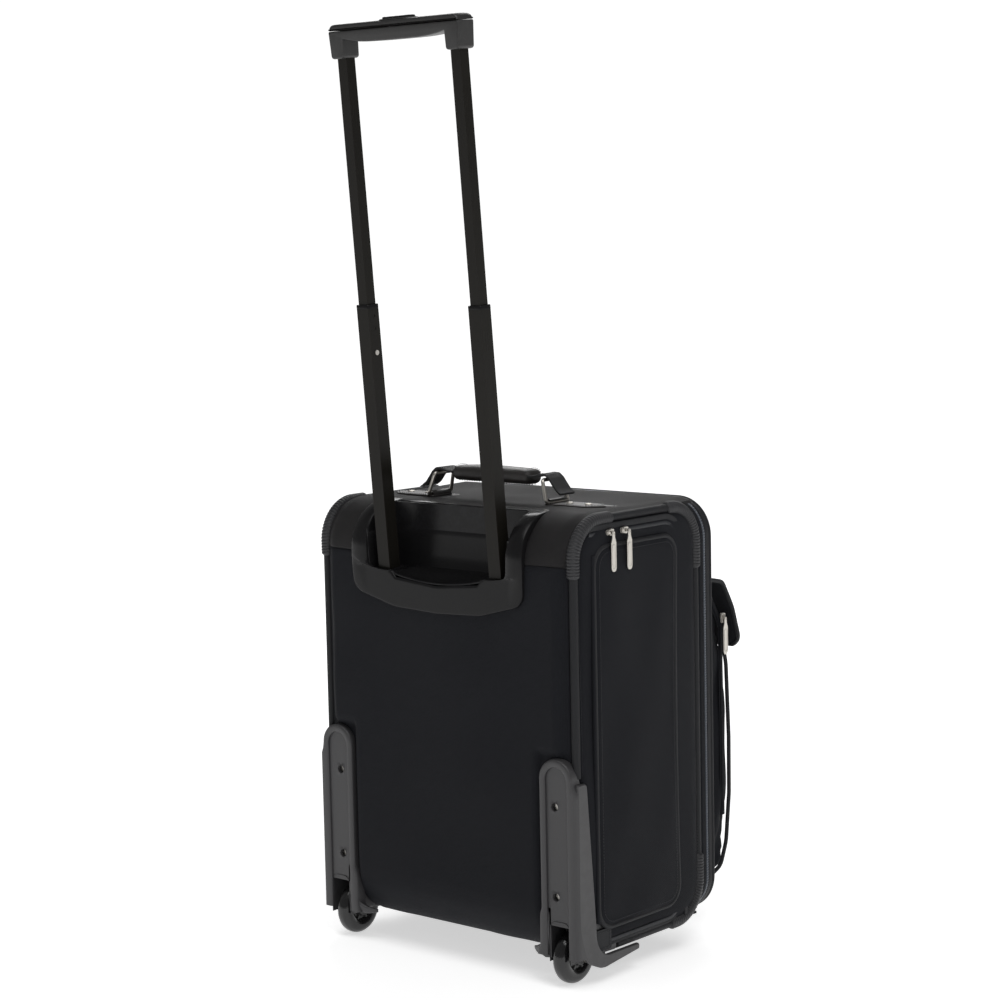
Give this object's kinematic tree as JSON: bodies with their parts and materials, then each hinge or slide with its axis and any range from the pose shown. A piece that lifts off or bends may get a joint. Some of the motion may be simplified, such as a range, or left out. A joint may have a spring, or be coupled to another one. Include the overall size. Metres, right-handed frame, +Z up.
{
  "type": "pilot rolling flight case",
  "caption": "Soft two-wheeled flight case with a telescopic trolley, a side door, a front cover with a flapped pocket and a leather carry handle.",
  "frame": {"origin": "centre of the whole outline at ground level, case standing on its wheels and foot with the trolley up", "axes": "+Z up, +Y towards the trolley and the wheels, -Y towards the front cover, the side door on -X"},
  "size_m": [0.3779, 0.3773, 1.0106],
  "materials": {
    "ballistic_nylon": "matte",
    "piping": "satin",
    "ribbed_rubber": "matte",
    "spring_steel": "satin",
    "board": "matte",
    "gloss_black_plastic": "gloss",
    "anodised_tube": "satin",
    "guide_plastic": "matte",
    "grip_plastic": "satin",
    "housing_plastic": "satin",
    "hub_plastic": "gloss",
    "tyre": "gloss",
    "leather": "satin",
    "webbing": "matte",
    "nickel": "satin"
  },
  "bodies": {
    "case": {"back_panel": "ballistic_nylon", "top_panel": "ballistic_nylon", "bottom_panel": "ballistic_nylon", "side_panel_left": "ballistic_nylon", "side_panel_right": "ballistic_nylon", "front_rim": "ballistic_nylon", "piping_left": "piping", "piping_right": "piping", "corner_guards": "ribbed_rubber", "frame_wires": "spring_steel", "back_board": "board", "handle_well": "gloss_black_plastic", "tube_pads": "gloss_black_plastic", "outer_tube_left": "anodised_tube", "outer_tube_right": "anodised_tube", "tube_foot": "gloss_black_plastic", "wheel_housing_left": "housing_plastic", "wheel_housing_right": "housing_plastic", "housing_screws": "spring_steel", "axles": "spring_steel", "front_foot": "housing_plastic", "handle_patch": "leather", "handle_tabs": "leather", "tab_rivets": "nickel"},
    "mid_stage": {"mid_tube_left": "anodised_tube", "mid_tube_right": "anodised_tube", "mid_collars": "gloss_black_plastic", "mid_guides": "guide_plastic"},
    "upper_stage": {"upper_tube_left": "anodised_tube", "upper_tube_right": "anodised_tube", "upper_guides": "guide_plastic", "grip_base": "grip_plastic", "grip_cover": "grip_plastic", "grip_screws": "spring_steel", "button_spring": "spring_steel"},
    "button": {"lock_button": "gloss_black_plastic", "push_rods": "spring_steel"},
    "pin_left": {"lock_pin_left": "spring_steel"},
    "pin_right": {"lock_pin_right": "spring_steel"},
    "wheel_left": {"wheel_hub_left": "hub_plastic", "wheel_tyre_left": "tyre"},
    "wheel_right": {"wheel_hub_right": "hub_plastic", "wheel_tyre_right": "tyre"},
    "left_ring": {"ring_left": "nickel"},
    "right_ring": {"ring_right": "nickel"},
    "carry_handle": {"handle_strap": "webbing", "handle_grip": "leather"},
    "door": {"side_door": "ballistic_nylon"},
    "rear_slider": {"door_slider_rear": "nickel"},
    "rear_pull": {"door_pull_rear": "nickel"},
    "front_slider": {"door_slider_front": "nickel"},
    "front_pull": {"door_pull_front": "nickel"},
    "cover": {"front_cover": "ballistic_nylon", "front_pocket": "ballistic_nylon"},
    "flap": {"pocket_flap": "ballistic_nylon"},
    "pocket_zip": {"pocket_slider": "nickel"},
    "pocket_zip_pull": {"pocket_pull": "nickel"},
    "main_zip": {"main_slider": "nickel"},
    "main_zip_pull": {"main_pull": "nickel"}
  },
  "joints": [
    {"name": "trolley_lower_slide", "type": "slide", "parent": "case", "child": "mid_stage", "axis": [0, 0.0837, 0.9965], "range_m": [-0.283, 0]},
    {"name": "trolley_upper_slide", "type": "slide", "parent": "mid_stage", "child": "upper_stage", "axis": [0, 0.0837, 0.9965], "range_m": [-0.25, 0], "deforming": ["lock_pin_left", "lock_pin_right"]},
    {"name": "button_press", "type": "slide", "parent": "upper_stage", "child": "button", "axis": [0, -0.0837, -0.9965], "range_m": [0, 0.004], "stiffness_N_per_m": 900, "springref_m": -0.003, "deforming": ["button_spring"]},
    {"name": "lock_pin_left_slide", "type": "slide", "parent": "upper_stage", "child": "pin_left", "axis": [1, 0, 0], "range_m": [0, 0.0022]},
    {"name": "lock_pin_right_slide", "type": "slide", "parent": "upper_stage", "child": "pin_right", "axis": [-1, 0, 0], "range_m": [0, 0.0022]},
    {"name": "wheel_left_spin", "type": "hinge", "parent": "case", "child": "wheel_left", "pos_m": [0.1575, 0.11173, 0.029], "axis": [1, 0, 0], "continuous": true},
    {"name": "wheel_right_spin", "type": "hinge", "parent": "case", "child": "wheel_right", "pos_m": [-0.1575, 0.11173, 0.029], "axis": [1, 0, 0], "continuous": true},
    {"name": "ring_left_swing", "type": "hinge", "parent": "case", "child": "left_ring", "pos_m": [0.085, 0.03723, 0.4986], "axis": [0, 1, 0], "range_deg": [-15, 15]},
    {"name": "carry_handle_turn", "type": "hinge", "parent": "left_ring", "child": "carry_handle", "pos_m": [0.0775, 0.03723, 0.5226], "axis": [0, 1, 0], "range_deg": [-18, 18]},
    {"name": "ring_right_swing", "type": "hinge", "parent": "case", "child": "right_ring", "pos_m": [-0.085, 0.03723, 0.4986], "axis": [0, 1, 0], "range_deg": [-15, 15]},
    {"name": "side_door_hinge", "type": "hinge", "parent": "case", "child": "door", "pos_m": [-0.1837, 0.10163, 0.26], "axis": [0, 0, -1], "range_deg": [0, 95]},
    {"name": "door_slider_rear_slide", "type": "slide", "parent": "door", "child": "rear_slider", "axis": [0, 1, 0], "range_m": [-0.007, 0.017]},
    {"name": "door_pull_rear_swing", "type": "hinge", "parent": "rear_slider", "child": "rear_pull", "pos_m": [-0.1883, 0.07223, 0.4755], "axis": [1, 0, 0], "range_deg": [-75, 15]},
    {"name": "door_slider_front_slide", "type": "slide", "parent": "door", "child": "front_slider", "axis": [0, 1, 0], "range_m": [-0.079, 0.004]},
    {"name": "door_pull_front_swing", "type": "hinge", "parent": "front_slider", "child": "front_pull", "pos_m": [-0.1904, 0.04823, 0.4755], "axis": [1, 0, 0], "range_deg": [-75, 75]},
    {"name": "front_cover_hinge", "type": "hinge", "parent": "case", "child": "cover", "pos_m": [0, -0.09977, 0.031], "axis": [1, 0, 0], "range_deg": [0, 55]},
    {"name": "pocket_flap_hinge", "type": "hinge", "parent": "cover", "child": "flap", "pos_m": [0, -0.11357, 0.401], "axis": [-1, 0, 0], "range_deg": [0, 85]},
    {"name": "pocket_slider_slide", "type": "slide", "parent": "cover", "child": "pocket_zip", "axis": [0, 0, 1], "range_m": [-0.2, 0]},
    {"name": "pocket_pull_swing", "type": "hinge", "parent": "pocket_zip", "child": "pocket_zip_pull", "pos_m": [-0.1648, -0.15657, 0.353], "axis": [0, 1, 0], "range_deg": [0, 150]},
    {"name": "main_slider_slide", "type": "slide", "parent": "cover", "child": "main_zip", "axis": [0, 0, 1], "range_m": [-0.18, 0.12]},
    {"name": "main_pull_swing", "type": "hinge", "parent": "main_zip", "child": "main_zip_pull", "pos_m": [0.1859, -0.10527, 0.3], "axis": [0, -1, 0], "range_deg": [0, 150]}
  ],
  "couplings": [
    {"joint": "lock_pin_left_slide", "follows": "button_press", "ratio": 0.55},
    {"joint": "lock_pin_right_slide", "follows": "button_press", "ratio": 0.55},
    {"joint": "carry_handle_turn", "follows": "ring_left_swing", "ratio": -1.0968},
    {"joint": "ring_right_swing", "follows": "ring_left_swing", "ratio": 1}
  ]
}
